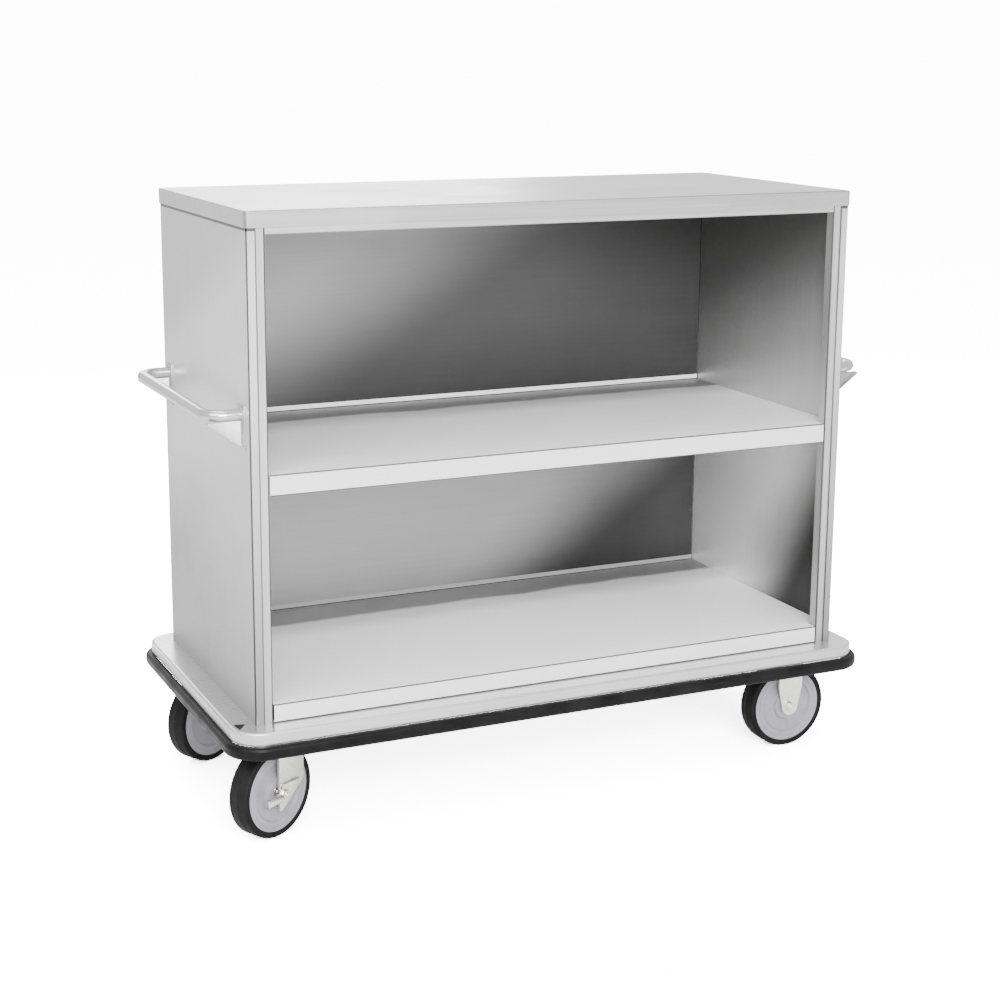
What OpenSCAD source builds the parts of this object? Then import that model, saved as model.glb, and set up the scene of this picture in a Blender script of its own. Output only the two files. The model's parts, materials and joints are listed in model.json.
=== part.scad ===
// Hotel luggage cart: a folded sheet-metal cabinet with one mid shelf, open at the front, on a
// bumpered deck with two swivel casters at the left end and two rigid casters at the right end.
// Origin: on the floor under the middle of the cart. +X runs to the right along the cart,
// -Y is the open front.

/* [Cabinet] */
// Length of the cabinet along X
body_len = 1420; // [1300:10:1500]
// Depth of the cabinet along Y
body_dep = 636; // [600:4:680]
// Height of the top face above the floor
cart_top = 1332; // [1250:1450]
// Height of the mid shelf's upper face
shelf_top = 798; // [740:860]
// Thickness of the cabinet's sheet
sheet_t = 1.5; // [1.2:0.1:2]
// Depth of the folded lip round the top
top_lip = 34; // [28:40]
// How far the top stands proud of the cabinet all round
top_over = 3; // [2.5:0.5:5]
// Height of the mid shelf's front lip
shelf_lip = 45; // [36:54]
// Height of the floor pan's upper face above the deck
floor_rise = 40; // [34:48]
// Width of a front post across the opening
post_w = 38; // [32:46]
// Depth of a front post
post_d = 28; // [24:36]

/* [Deck] */
// Height of the deck's upper face above the floor
deck_top = 270; // [268:274]
// Margin of deck beyond the cabinet all round
deck_margin = 50; // [44:60]
// Thickness of the deck sheet
deck_t = 2.5; // [2:0.5:3]
// Corner radius of the deck, seen from above
deck_r = 60; // [45:70]
// How far the rubber bumper stands out from the deck's rim
bumper_t = 16; // [14:20]
// Height of the rubber bumper
bumper_h = 28; // [26:32]

/* [Handles] */
// Diameter of the handle tube
grip_d = 25; // [22:28]
// Gap from the end panel to the middle of the tube
grip_reach = 72; // [64:84]
// Width of a handle between the middles of its legs
grip_span = 540; // [440:560]
// Height of the handle tube's middle above the floor
grip_z = 918; // [880:960]
// Bend radius on the middle of the handle tube
grip_bend = 40; // [32:48]

/* [Casters] */
// Wheel diameter
wheel_d = 203.2; // [200:0.8:204]
// Tread width
wheel_w = 50; // [46:52]
// Outer diameter of the wheel's core under the tyre
core_d = 174; // [166:180]
// Distance from the kingpin to the axle on a swivel caster
trail = 42; // [38:46]
// How far the swivel casters are turned from straight ahead, in degrees
swivel_turn = 28; // [0:45]
// Distance of the kingpins from the middle of the cart
swivel_x = 625; // [560:640]
// Distance of the rigid casters from the middle of the cart
rigid_x = 635; // [600:665]
// Distance of every caster from the centre line
caster_y = 240; // [190:240]

/* [Hidden] */
$fn = 48;

FRONT = -1;
REAR = 1;
LEFT = -1;
RIGHT = 1;

// cabinet
half_len = body_len / 2;
half_dep = body_dep / 2;
bend_r = 3;                                 // bend radius of the cabinet sheet, on its middle line
front_flange = 18;                          // end panel's fold over the front post
rear_flange = 22;                           // end panel's fold over the back panel
back_half = half_len - sheet_t / 2 - bend_r; // the back panel stops where the end panels' bends begin
panel_top = cart_top - sheet_t;
top_bend = top_over - sheet_t / 2;          // the top's bend starts just outside the cabinet
post_x = half_len - sheet_t - post_w / 2;
post_y = -half_dep + sheet_t + post_d / 2;
opening_half = half_len - sheet_t - post_w; // half the width between the front posts
tray_gap = 2;                               // side play between a tray's front lip and the posts
tray_half = opening_half - tray_gap;
tray_end = half_len - 2 * sheet_t;          // where a tray's ends stop, behind the posts
tray_front = -half_dep + sheet_t;
tray_back = half_dep - 2 * sheet_t - 0.5;
tray_upstand = 12;
tray_return = 16;
notch_y = post_y + post_d / 2 + 3;          // a tray clears the back of the posts from here on
floor_top = deck_top + floor_rise;
head_drop = 15;                             // how far the head rail shows below the top's lip
angle_leg = 25;
angle_t = 2;

// deck and underframe
deck_len = body_len + 2 * deck_margin;
deck_dep = body_dep + 2 * deck_margin;
deck_fold = 8;
deck_bend = 4;
plate_top = 241;                            // upper face of the casters' mounting plates
plate_t = 6;
pad_t = 4;
rail_low = plate_top + pad_t;
rail_top = deck_top - deck_t;
rail_w = 96;                                // wide enough for the casters' nuts inside it
rail_t = 3;
rim_low = deck_top + 1 - bumper_h;
track_t = 2;
track_h = 20;
rail_end = deck_len / 2 - deck_t - 2;

// casters
axle_z = wheel_d / 2;
plate_len = 114;
plate_dep = 102;
bolt_x = 46;
bolt_y = 33.5;
bolt_r = 5;
hex_r = 9;
fork_t = 6;
fork_gap = wheel_w / 2 + 6;                 // from the wheel's mid plane to a leg's inner face
fork_side = fork_gap + fork_t;
crown_low = 209;
crown_top = crown_low + fork_t;
leg_foot = 21;
rigid_shoulder = 151;                       // height where a rigid fork's legs start to narrow
kingpin_r = 8;
axle_r = 6;
sleeve_r = 10;
bearing_r = 17.5;
bearing_w = 11;
boss_half = wheel_w / 2 + 2;
running = 0.06;                             // radial clearance of every turning fit
lever_t = 4;
lever_gap = 0.3;
lever_near = fork_side + lever_gap;
lever_far = lever_near + lever_t;
lever_reach = 58;
lever_eye = 14;

// ---- helpers ----

function unit(v) = v / norm(v);
function half_angle(a, v, b) = acos(unit(a - v) * unit(b - v)) / 2;
function setback(p, i, rc) = rc / tan(half_angle(p[i - 1], p[i], p[i + 1]));
// where a line from p touches a circle at c; side picks which of the two
function tangent(c, r, p, side) =
    let (d = p - c, q = norm(d))
    c + r * r / (q * q) * d + side * r * sqrt(q * q - r * r) / (q * q) * [-d[1], d[0]];

// quarter or part ring that joins two runs of a folded sheet
module bend(a, v, b, t, rc) {
    h = half_angle(a, v, b);
    c = v + unit(unit(a - v) + unit(b - v)) * rc / sin(h);
    ta = v + unit(a - v) * rc / tan(h) - c;
    tb = v + unit(b - v) * rc / tan(h) - c;
    intersection() {
        translate(c) difference() {
            circle(rc + t / 2);
            circle(rc - t / 2);
        }
        translate(c) polygon([[0, 0], 3 * ta, 3 * (ta + tb), 3 * tb]);
    }
}

// folded sheet in section: p is its middle line, t its thickness, rc its bend radius on that line
module folded(p, t, rc) {
    last = len(p) - 1;
    for (i = [0 : last - 1]) {
        d = unit(p[i + 1] - p[i]);
        a = p[i] + (i > 0 ? setback(p, i, rc) : 0) * d;
        b = p[i + 1] - (i < last - 1 ? setback(p, i + 1, rc) : 0) * d;
        n = [-d[1], d[0]] * t / 2;
        polygon([a - n, b - n, b + n, a + n]);
    }
    for (i = [1 : last - 1]) bend(p[i - 1], p[i], p[i + 1], t, rc);
}

// a section drawn as (y, z), run along X
module along_x(x0, x1) translate([x0, 0, 0]) rotate([90, 0, 90]) linear_extrude(x1 - x0) children();
// a section drawn as (x, z), run along Y
module along_y(y0, y1) translate([0, y1, 0]) rotate([90, 0, 0]) linear_extrude(y1 - y0) children();
// a section drawn as (x, y), run along Z
module along_z(z0, z1) translate([0, 0, z0]) linear_extrude(z1 - z0) children();
// a box between two corners
module block(a, b) translate(a) cube(b - a);

module rounded(lx, ly, r) {
    square([lx - 2 * r, ly], center = true);
    square([lx, ly - 2 * r], center = true);
    for (sx = [-1, 1], sy = [-1, 1])
        translate([sx * (lx / 2 - r), sy * (ly / 2 - r)]) circle(r);
}

// runs a section round a rounded rectangle; the section's x is measured outwards from the path
module around(lx, ly, r) {
    for (k = [0 : 3]) {
        a = k % 2 == 0 ? lx : ly;
        b = k % 2 == 0 ? ly : lx;
        rotate([0, 0, 90 * k]) {
            translate([r - a / 2, b / 2 - r, 0])
                rotate([90, 0, 90]) linear_extrude(a - 2 * r) translate([r, 0]) children();
            translate([a / 2 - r, b / 2 - r, 0])
                rotate_extrude(angle = 90) translate([r, 0]) children();
        }
    }
}

// a shallow lid: flat sheet with its edges folded down all round
module lid(lx, ly, r, top, drop, t, fold, rc) {
    along_z(top - t, top) rounded(lx - 2 * fold, ly - 2 * fold, r - fold);
    around(lx, ly, r)
        folded([[-fold, top - t / 2], [-t / 2, top - t / 2], [-t / 2, top - drop]], t, rc);
}

module mirrored(side) {
    if (side > 0) mirror([1, 0, 0]) children();
    else children();
}

// a round bar or hole along Y between y0 and y1
module rod_y(r, y0, y1) translate([0, y0, 0]) rotate([-90, 0, 0]) cylinder(r = r, h = y1 - y0);
module hex_y(r, y0, y1) translate([0, y0, 0]) rotate([-90, 0, 0]) cylinder(r = r, h = y1 - y0, $fn = 6);

// ---- deck and underframe ----

// small three-cornered opening in the deck's margin at the front left corner
module corner_notch() {
    cx = -deck_len / 2;
    cy = -deck_dep / 2;
    along_z(rail_top - 1, deck_top + 1)
        polygon([[cx + 9, cy + 78], [cx + 36, cy + 72], [cx + 13, cy + 40]]);
}

module deck_plate() color("gainsboro") difference() {
    lid(deck_len, deck_dep, deck_r, deck_top, deck_top - rim_low, deck_t, deck_fold, deck_bend);
    corner_notch();
}

module bumper() color([0.07, 0.07, 0.08]) {
    soft = 7;
    around(deck_len, deck_dep, deck_r) translate([0, rim_low]) difference() {
        union() {
            square([bumper_t - soft, bumper_h]);
            translate([0, soft]) square([bumper_t, bumper_h - 2 * soft]);
            for (z = [soft, bumper_h - soft]) translate([bumper_t - soft, z]) circle(soft);
        }
        translate([-1, (bumper_h - track_h) / 2]) square([1 + track_t, track_h]);
    }
}

module bumper_track() color("silver")
    around(deck_len, deck_dep, deck_r)
        translate([0, rim_low + (bumper_h - track_h) / 2]) square([track_t, track_h]);

// a channel that opens downwards, in section, from its middle
module channel_section(w, low, top, t)
    folded([[t / 2 - w / 2, low], [t / 2 - w / 2, top - t / 2],
            [w / 2 - t / 2, top - t / 2], [w / 2 - t / 2, low]], t, 4);

module side_rail(side) color("slategray")
    along_x(-rail_end, rail_end)
        translate([side * caster_y, 0]) channel_section(rail_w, rail_low, rail_top, rail_t);

module cross_members() color("slategray") {
    count = 4;
    pitch = 380;
    width = 60;
    reach = caster_y - rail_w / 2;
    for (i = [0 : count - 1])
        along_y(-reach, reach)
            translate([(i - (count - 1) / 2) * pitch, 0])
                channel_section(width, rail_low, rail_top, rail_t);
}

module at_casters() for (side = [FRONT, REAR]) {
    translate([-swivel_x, side * caster_y, 0]) children();
    translate([rigid_x, side * caster_y, 0]) children();
}
module at_bolts() for (sx = [-1, 1], sy = [-1, 1]) translate([sx * bolt_x, sy * bolt_y, 0]) children();

module caster_pads() color("slategray") at_casters() difference() {
    along_z(plate_top, rail_low) rounded(plate_len + 16, plate_dep + 14, 8);
    at_bolts() translate([0, 0, plate_top - 1]) cylinder(r = bolt_r + 0.3, h = pad_t + 2);
    translate([0, 0, plate_top - 1]) cylinder(r = 16, h = pad_t + 2);
}

module caster_bolts() color("gold") at_casters() at_bolts() {
    translate([0, 0, plate_top - plate_t - 6.5]) cylinder(r = hex_r, h = 6.5, $fn = 6);
    translate([0, 0, plate_top - plate_t - 1]) cylinder(r = bolt_r, h = plate_t + pad_t + 10);
}

module caster_nuts() color("gold") at_casters() at_bolts() difference() {
    translate([0, 0, rail_low]) cylinder(r = hex_r, h = 7, $fn = 6);
    translate([0, 0, rail_low - 1]) cylinder(r = bolt_r + 0.05, h = 9);
}

// ---- cabinet ----

module end_panel(side) color("silver") mirrored(side) difference() {
    x = sheet_t / 2 - half_len;
    y = half_dep - sheet_t / 2;
    union() {
        along_z(deck_top, panel_top)
            folded([[front_flange - half_len, -y], [x, -y], [x, y], [rear_flange - half_len, y]],
                   sheet_t, bend_r);
        block([-half_len, notch_y, panel_top - sheet_t],
              [20 - half_len, half_dep - 4 * sheet_t, panel_top]);
    }
    handle_holes();
    back_holes();
}

module back_panel() color("darkgray") difference() {
    block([-back_half, half_dep - 2 * sheet_t, deck_top],
          [back_half, half_dep - sheet_t, panel_top]);
    for (side = [LEFT, RIGHT]) mirrored(side) back_holes();
}

module front_post(side) color("silver") mirrored(side)
    translate([-post_x, post_y, 0]) along_z(deck_top, panel_top) difference() {
        rounded(post_w, post_d, 4);
        rounded(post_w - 4, post_d - 4, 2);
    }

module top_panel() color("gainsboro")
    lid(body_len + 2 * top_over, body_dep + 2 * top_over, 8, cart_top, top_lip, sheet_t, 6, top_bend);

module top_front_rail() color("silver") {
    y = tray_front + sheet_t / 2;
    high = panel_top - sheet_t / 2;
    low = cart_top - top_lip - head_drop + sheet_t / 2;
    along_x(-opening_half + 0.3, opening_half - 0.3)
        folded([[y + 26, high], [y, high], [y, low], [y + 20, low]], sheet_t, bend_r);
}

// a tray with a folded front lip between the posts, an upstand at the back and turned-down ends
module tray(top, lip) {
    y0 = tray_front + sheet_t / 2;
    y1 = tray_back - sheet_t / 2;
    z = top - sheet_t / 2;
    low = top - lip + sheet_t / 2;
    along_x(-tray_half, tray_half)
        folded([[y0 + tray_return, low], [y0, low], [y0, z], [y1, z], [y1, top + tray_upstand]],
               sheet_t, bend_r);
    for (side = [LEFT, RIGHT]) mirrored(side) {
        along_x(-tray_end + 1, -tray_half)
            folded([[notch_y, z], [y1, z], [y1, top + tray_upstand]], sheet_t, bend_r);
        block([-tray_end, notch_y, top - 20], [sheet_t - tray_end, y1 - bend_r - 2, top]);
    }
}

module mid_shelf() color("gainsboro") tray(shelf_top, shelf_lip);
module floor_pan() color("gainsboro") tray(floor_top, floor_rise);

module shelf_angle(side) color("silver") mirrored(side) {
    x = angle_t / 2 - half_len + sheet_t;
    z = shelf_top - sheet_t - angle_t / 2;
    inner = x + sheet_t + 2;
    along_y(notch_y + 6, half_dep - 30)
        folded([[x + angle_leg + 4, z], [x + 5, z], [x + 5, z - angle_leg]], angle_t, bend_r);
    for (y = [-200, 0, 200])
        block([x - angle_t / 2, y - 12, z - angle_leg], [inner + 2, y + 12, z - angle_leg + 6]);
}

module back_shelf_angle() color("silver") {
    y = half_dep - 2 * sheet_t - angle_t / 2;
    z = shelf_top - sheet_t - angle_t / 2;
    along_x(40 - half_len, half_len - 40)
        folded([[y - angle_leg, z], [y, z], [y, z - angle_leg]], angle_t, bend_r);
}

module floor_stringers() color("slategray") for (x = [-480, -160, 160, 480])
    along_y(tray_front + 24, half_dep - 10)
        translate([x, 0]) channel_section(60, deck_top, floor_top - sheet_t, 2);

// ---- handles ----

leg_y = grip_span / 2;
bracket_t = 3;
bracket_w = 44;
bracket_top = grip_z + 20;
bracket_low = grip_z - 72;
rivet_y = 14;
rivet_z = grip_z - 44;

// the handle's path swept at radius r
module grip(r) {
    x = -half_len - grip_reach;
    foot = -half_len - bracket_t;
    translate([x, 0, grip_z]) rod_y(r, grip_bend - leg_y, leg_y - grip_bend);
    for (side = [-1, 1]) {
        translate([x + grip_bend, side * leg_y, grip_z])
            rotate([0, 90, 0]) cylinder(r = r, h = foot - x - grip_bend);
        translate([x + grip_bend, side * (leg_y - grip_bend), grip_z])
            rotate([0, 0, side > 0 ? 90 : 180])
                rotate_extrude(angle = 90) translate([grip_bend, 0]) circle(r);
    }
}

module handle_tube(side) color("silver") mirrored(side) difference() {
    grip(grip_d / 2);
    grip(grip_d / 2 - 1.5);
}

module handle_brackets(side) color("silver") mirrored(side) for (end = [-1, 1])
    translate([0, end * leg_y, 0]) difference() {
        union() {
            block([-half_len - bracket_t, -bracket_w / 2, bracket_low],
                  [-half_len, bracket_w / 2, bracket_top]);
            gusset();
        }
        rivet_sites() rotate([0, 90, 0]) cylinder(r = 2.5, h = 20, center = true);
    }

// three-cornered web under a handle leg, with a flange along its sloping edge
module gusset() {
    foot = -half_len - bracket_t;
    under = grip_z - grip_d / 2;
    tip = foot - grip_reach;
    low = bracket_low + 6;
    along_y(-2, 2) polygon([[foot, under], [tip, under], [foot, low]]);
    along_y(-9, 9) folded([[foot, low], [tip, under - 1.4]], 2.5, 1);
}

module rivet_sites() for (s = [-1, 1]) translate([-half_len, s * rivet_y, rivet_z]) children();

module handle_holes() for (end = [-1, 1])
    translate([0, end * leg_y, 0]) rivet_sites() rotate([0, 90, 0]) cylinder(r = 2.5, h = 8, center = true);

// a rivet along +X whose head's seat is at the origin and whose tail is set flush
module rivet(grip_len) rotate([0, 90, 0]) {
    translate([0, 0, -1.6]) cylinder(r1 = 2.6, r2 = 4.4, h = 1.6);
    cylinder(r = 2.4, h = grip_len);
}

module handle_rivets() color("silver") for (side = [LEFT, RIGHT], end = [-1, 1]) mirrored(side)
    translate([-bracket_t, end * leg_y, 0]) rivet_sites() rivet(bracket_t + sheet_t);

// ---- rivets of the back panel ----

back_rivet_n = 10;
back_rivet_low = deck_top + 70;             // above the floor pan's upstand
back_rivet_high = panel_top - 60;
back_rivet_pitch = (back_rivet_high - back_rivet_low) / (back_rivet_n - 1);
module back_rivet_sites() for (i = [0 : back_rivet_n - 1])
    translate([12 - half_len, half_dep, back_rivet_low + i * back_rivet_pitch]) children();
module back_holes() back_rivet_sites() rotate([90, 0, 0]) cylinder(r = 2.5, h = 8, center = true);
module back_rivets() color("silver") for (side = [LEFT, RIGHT]) mirrored(side)
    back_rivet_sites() rotate([0, 0, -90]) rivet(2 * sheet_t);

// ---- casters ----

// a swivel caster's own frame: kingpin at the origin, wheel behind it along -X, brake on its outer side
module at_swivel(side) translate([-swivel_x, side * caster_y, 0]) rotate([0, 0, swivel_turn])
    mirror([0, side > 0 ? 1 : 0, 0]) children();
module at_swivel_plate(side) translate([-swivel_x, side * caster_y, 0]) children();
module at_rigid(side) translate([rigid_x, side * caster_y, 0]) mirror([0, side > 0 ? 1 : 0, 0]) children();
module at_swivel_axle(side) at_swivel(side) translate([-trail, 0, axle_z]) children();
module at_rigid_axle(side) at_rigid(side) translate([0, 0, axle_z]) children();

module plate_body() difference() {
    along_z(plate_top - plate_t, plate_top) rounded(plate_len, plate_dep, 8);
    at_bolts() translate([0, 0, plate_top - plate_t - 1]) cylinder(r = bolt_r + 0.3, h = plate_t + 2);
}

module caster_plate() color("lightgray") difference() {
    plate_body();
    translate([0, 0, plate_top - plate_t - 1]) cylinder(r = kingpin_r, h = plate_t + 2);
}

race_r = 37;
ball_r = 2.9;
ball_ring = 30;
ball_z = crown_top + 5 + ball_r + 0.1;

// upper half of the swivel bearing with its skirt, and the balls it runs on
module caster_race() color("lightgray") {
    skirt = race_r + 7;
    low = ball_z + ball_r + 0.1;
    rotate_extrude() polygon([
        [14, low], [skirt - 5, low], [skirt - 5, crown_top + 4], [skirt, crown_top + 4],
        [skirt, plate_top - plate_t], [14, plate_top - plate_t]
    ]);
    for (i = [0 : 17]) rotate([0, 0, 20 * i]) translate([ball_ring, 0, ball_z]) sphere(ball_r);
}

module kingpin() color("lightgray") {
    nut_top = crown_low - lever_gap;
    translate([0, 0, 201.5]) cylinder(r = kingpin_r, h = plate_top - 201.5);
    translate([0, 0, plate_top]) cylinder(r = 13, h = 5);
    difference() {
        translate([0, 0, nut_top - 8]) cylinder(r = 11, h = 8, $fn = 6);
        translate([0, 0, nut_top - 9]) cylinder(r = kingpin_r + 0.05, h = 10);
    }
}

// a rigid fork's leg seen from the side, as (x, z): straight to the shoulder, then in to a round foot
module rigid_leg(half_w, top, shoulder) {
    c = [0, axle_z];
    polygon([[-half_w, top], [half_w, top], [half_w, shoulder],
             tangent(c, leg_foot, [half_w, shoulder], -1), c,
             tangent(c, leg_foot, [-half_w, shoulder], 1), [-half_w, shoulder]]);
    translate(c) circle(leg_foot);
}

// a swivel fork's leg: its rear edge is straight, its front edge slopes in below the axle's height
module swivel_leg(x0, x1) {
    toe = 8;
    toe_z = axle_z - 38;
    shoulder = axle_z + 17;
    polygon([[x0, crown_top], [x1, crown_top], [x1, shoulder], [x0 + toe, toe_z], [x0, toe_z]]);
}

// one leg outline on each side of the wheel, bored for the axle
module legs(axle_x) difference() {
    union() {
        along_y(-fork_side, -fork_gap) children();
        along_y(fork_gap, fork_side) children();
    }
    translate([axle_x, 0, axle_z]) rod_y(axle_r, -fork_side - 1, fork_side + 1);
}

module swivel_fork() color("lightgray") {
    x0 = -trail - 10;
    x1 = 22;
    legs(-trail) swivel_leg(x0, x1);
    difference() {
        union() {
            translate([(x0 + x1) / 2, 0, 0])
                along_z(crown_low, crown_top) square([x1 - x0, 2 * fork_gap], center = true);
            translate([0, 0, crown_low]) cylinder(r = race_r, h = fork_t + 5);
        }
        translate([0, 0, crown_low - 1]) cylinder(r = kingpin_r + running, h = fork_t + 8);
    }
}

module rigid_fork() color("lightgray") {
    top = plate_top - plate_t;
    legs(0) rigid_leg(32, top, rigid_shoulder);
    plate_body();
}

// axle bolt with its nut on the outer side; grip_len is how far the nut sits beyond the leg
module axle(grip_len) color("lightgray") {
    nut = -fork_side - grip_len;
    rod_y(axle_r, nut - 11, fork_side);
    hex_y(11, fork_side, fork_side + 7.5);
    difference() {
        hex_y(11, nut - 9, nut);
        rod_y(axle_r + 0.05, nut - 10, nut + 1);
    }
}

module sleeve() color("lightgray") difference() {
    rod_y(sleeve_r, -fork_gap, fork_gap);
    rod_y(axle_r + 0.05, -fork_gap - 1, fork_gap + 1);
}

module hub() color([0.78, 0.78, 0.82]) {
    rim = core_d / 2;
    face = wheel_w / 2 - 1;
    deep = face - 5;
    seat = boss_half - bearing_w;
    rotate([90, 0, 0]) rotate_extrude() polygon([
        [14, -seat], [bearing_r, -seat], [bearing_r, -boss_half], [33, -boss_half], [36, -deep],
        [rim - 24, -deep], [rim - 21, -face], [rim, -face], [rim, face], [rim - 21, face],
        [rim - 24, deep], [36, deep], [33, boss_half], [bearing_r, boss_half], [bearing_r, seat], [14, seat]
    ]);
}

module bearings() color("lightgray") for (side = [-1, 1]) {
    y0 = side > 0 ? boss_half - bearing_w : -boss_half;
    difference() {
        rod_y(bearing_r, y0, y0 + bearing_w);
        rod_y(sleeve_r + running, y0 - 1, y0 + bearing_w + 1);
    }
}

module tyre() color([0.1, 0.1, 0.11]) {
    soft = 6;
    outer = wheel_d / 2;
    rotate([90, 0, 0]) rotate_extrude() {
        translate([core_d / 2, -wheel_w / 2]) square([outer - soft - core_d / 2, wheel_w]);
        translate([core_d / 2, soft - wheel_w / 2]) square([outer - core_d / 2, wheel_w - 2 * soft]);
        for (s = [-1, 1]) translate([outer - soft, s * (wheel_w / 2 - soft)]) circle(soft);
    }
}

// side-lock lever: an eye round the axle, a flat arm across the leg and a thick round pad to the rear
module brake_lever() color("lightgray") difference() {
    pad_r = 9;
    pad_inner = 16;
    union() {
        rod_y(lever_eye, -lever_far, -lever_near);
        block([0, -lever_far, 10], [50, -lever_near, 20]);
        block([-pad_inner - 4, -lever_far, -12], [0, -lever_near, 4]);
        translate([-lever_reach, -lever_near - pad_r, -4])
            rotate([0, 90, 0]) cylinder(r = pad_r, h = lever_reach - pad_inner);
    }
    rod_y(axle_r + running, -lever_near - 2 * pad_r - 1, -lever_near + 1);
}

// ---- assembly ----

deck_plate();
bumper();
bumper_track();
side_rail(FRONT);  // front_rail
side_rail(REAR);  // rear_rail
cross_members();
caster_pads();
end_panel(LEFT);  // left_end_panel
end_panel(RIGHT);  // right_end_panel
back_panel();
front_post(LEFT);  // left_front_post
front_post(RIGHT);  // right_front_post
top_panel();
top_front_rail();
mid_shelf();
shelf_angle(LEFT);  // left_shelf_angle
shelf_angle(RIGHT);  // right_shelf_angle
back_shelf_angle();
floor_pan();
floor_stringers();
handle_tube(LEFT);  // left_handle_tube
handle_tube(RIGHT);  // right_handle_tube
handle_brackets(LEFT);  // left_handle_brackets
handle_brackets(RIGHT);  // right_handle_brackets
handle_rivets();
back_rivets();
caster_bolts();
caster_nuts();

at_swivel_plate(FRONT) caster_plate();  // front_left_caster_plate
at_swivel_plate(FRONT) caster_race();  // front_left_caster_race
at_swivel_plate(FRONT) kingpin();  // front_left_kingpin
at_swivel(FRONT) swivel_fork();  // front_left_fork
at_swivel_axle(FRONT) axle(lever_far - fork_side + lever_gap);  // front_left_axle
at_swivel_axle(FRONT) sleeve();  // front_left_sleeve
at_swivel_axle(FRONT) hub();  // front_left_hub
at_swivel_axle(FRONT) bearings();  // front_left_bearings
at_swivel_axle(FRONT) tyre();  // front_left_tyre
at_swivel_axle(FRONT) brake_lever();  // front_left_brake_lever

at_swivel_plate(REAR) caster_plate();  // rear_left_caster_plate
at_swivel_plate(REAR) caster_race();  // rear_left_caster_race
at_swivel_plate(REAR) kingpin();  // rear_left_kingpin
at_swivel(REAR) swivel_fork();  // rear_left_fork
at_swivel_axle(REAR) axle(lever_far - fork_side + lever_gap);  // rear_left_axle
at_swivel_axle(REAR) sleeve();  // rear_left_sleeve
at_swivel_axle(REAR) hub();  // rear_left_hub
at_swivel_axle(REAR) bearings();  // rear_left_bearings
at_swivel_axle(REAR) tyre();  // rear_left_tyre
at_swivel_axle(REAR) brake_lever();  // rear_left_brake_lever

at_rigid(FRONT) rigid_fork();  // front_right_fork
at_rigid_axle(FRONT) axle(0);  // front_right_axle
at_rigid_axle(FRONT) sleeve();  // front_right_sleeve
at_rigid_axle(FRONT) hub();  // front_right_hub
at_rigid_axle(FRONT) bearings();  // front_right_bearings
at_rigid_axle(FRONT) tyre();  // front_right_tyre

at_rigid(REAR) rigid_fork();  // rear_right_fork
at_rigid_axle(REAR) axle(0);  // rear_right_axle
at_rigid_axle(REAR) sleeve();  // rear_right_sleeve
at_rigid_axle(REAR) hub();  // rear_right_hub
at_rigid_axle(REAR) bearings();  // rear_right_bearings
at_rigid_axle(REAR) tyre();  // rear_right_tyre
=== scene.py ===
import json
import math

import bmesh
import bpy
from mathutils import Matrix, Vector


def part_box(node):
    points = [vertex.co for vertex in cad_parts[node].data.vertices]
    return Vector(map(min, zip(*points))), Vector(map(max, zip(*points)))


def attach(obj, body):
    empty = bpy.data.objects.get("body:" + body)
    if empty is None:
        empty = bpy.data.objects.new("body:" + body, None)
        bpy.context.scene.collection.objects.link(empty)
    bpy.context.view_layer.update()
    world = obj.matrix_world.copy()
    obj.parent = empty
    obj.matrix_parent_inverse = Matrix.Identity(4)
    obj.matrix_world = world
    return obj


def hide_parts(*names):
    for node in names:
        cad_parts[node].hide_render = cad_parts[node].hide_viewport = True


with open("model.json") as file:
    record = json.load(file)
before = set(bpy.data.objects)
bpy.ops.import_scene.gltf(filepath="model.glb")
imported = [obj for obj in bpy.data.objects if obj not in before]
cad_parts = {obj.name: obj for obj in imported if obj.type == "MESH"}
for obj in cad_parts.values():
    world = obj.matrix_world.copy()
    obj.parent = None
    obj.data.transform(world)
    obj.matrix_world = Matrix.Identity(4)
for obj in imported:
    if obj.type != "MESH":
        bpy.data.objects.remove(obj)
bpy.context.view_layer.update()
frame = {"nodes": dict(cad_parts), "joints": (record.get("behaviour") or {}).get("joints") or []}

NODES = frame["nodes"]
JOINTS = {joint["name"]: joint for joint in frame["joints"]}
CASTERS = ("front_left", "rear_left", "front_right", "rear_right")

# places taken from the frame, in metres
CABINET_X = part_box("right_end_panel")[1].x
CABINET_Y = -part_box("left_end_panel")[0].y
LIP_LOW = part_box("top_panel")[0].z
FRONT_FLANGE = 0.018
DECK_LOW, DECK_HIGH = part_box("deck_plate")
TRAY_DEPTH = 0.020                # a height that tells the mid shelf from the floor pan
SHELF_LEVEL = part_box("mid_shelf")[1].z - TRAY_DEPTH


# ---- node tree helpers ----

def add(tree, kind, inputs=None, **settings):
    """A node with its settings; each input is given a value, or a socket to be linked from."""
    made = tree.nodes.new(kind)
    for key, value in settings.items():
        setattr(made, key, value)
    for key, value in (inputs or {}).items():
        if isinstance(value, bpy.types.NodeSocket):
            tree.links.new(value, made.inputs[key])
        else:
            made.inputs[key].default_value = value
    return made


def maths(tree, operation, a, b=0.0):
    return add(tree, "ShaderNodeMath", {0: a, 1: b}, operation=operation).outputs[0]


def ramp(tree, source, start, stop, low=0.0, high=1.0):
    """A smooth step from low to high while the source goes from start to stop."""
    sockets = {"Value": source, "From Min": start, "From Max": stop, "To Min": low, "To Max": high}
    return add(tree, "ShaderNodeMapRange", sockets, interpolation_type="SMOOTHSTEP").outputs[0]


def noise(tree, vector, scale, detail=3.0, roughness=0.55):
    sockets = {"Vector": vector, "Scale": scale, "Detail": detail, "Roughness": roughness}
    return add(tree, "ShaderNodeTexNoise", sockets).outputs[0]


def vectors(tree, operation, a, b):
    return add(tree, "ShaderNodeVectorMath", {0: a, 1: b}, operation=operation)


def grey(level):
    return (level, level, level, 1.0)


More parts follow.
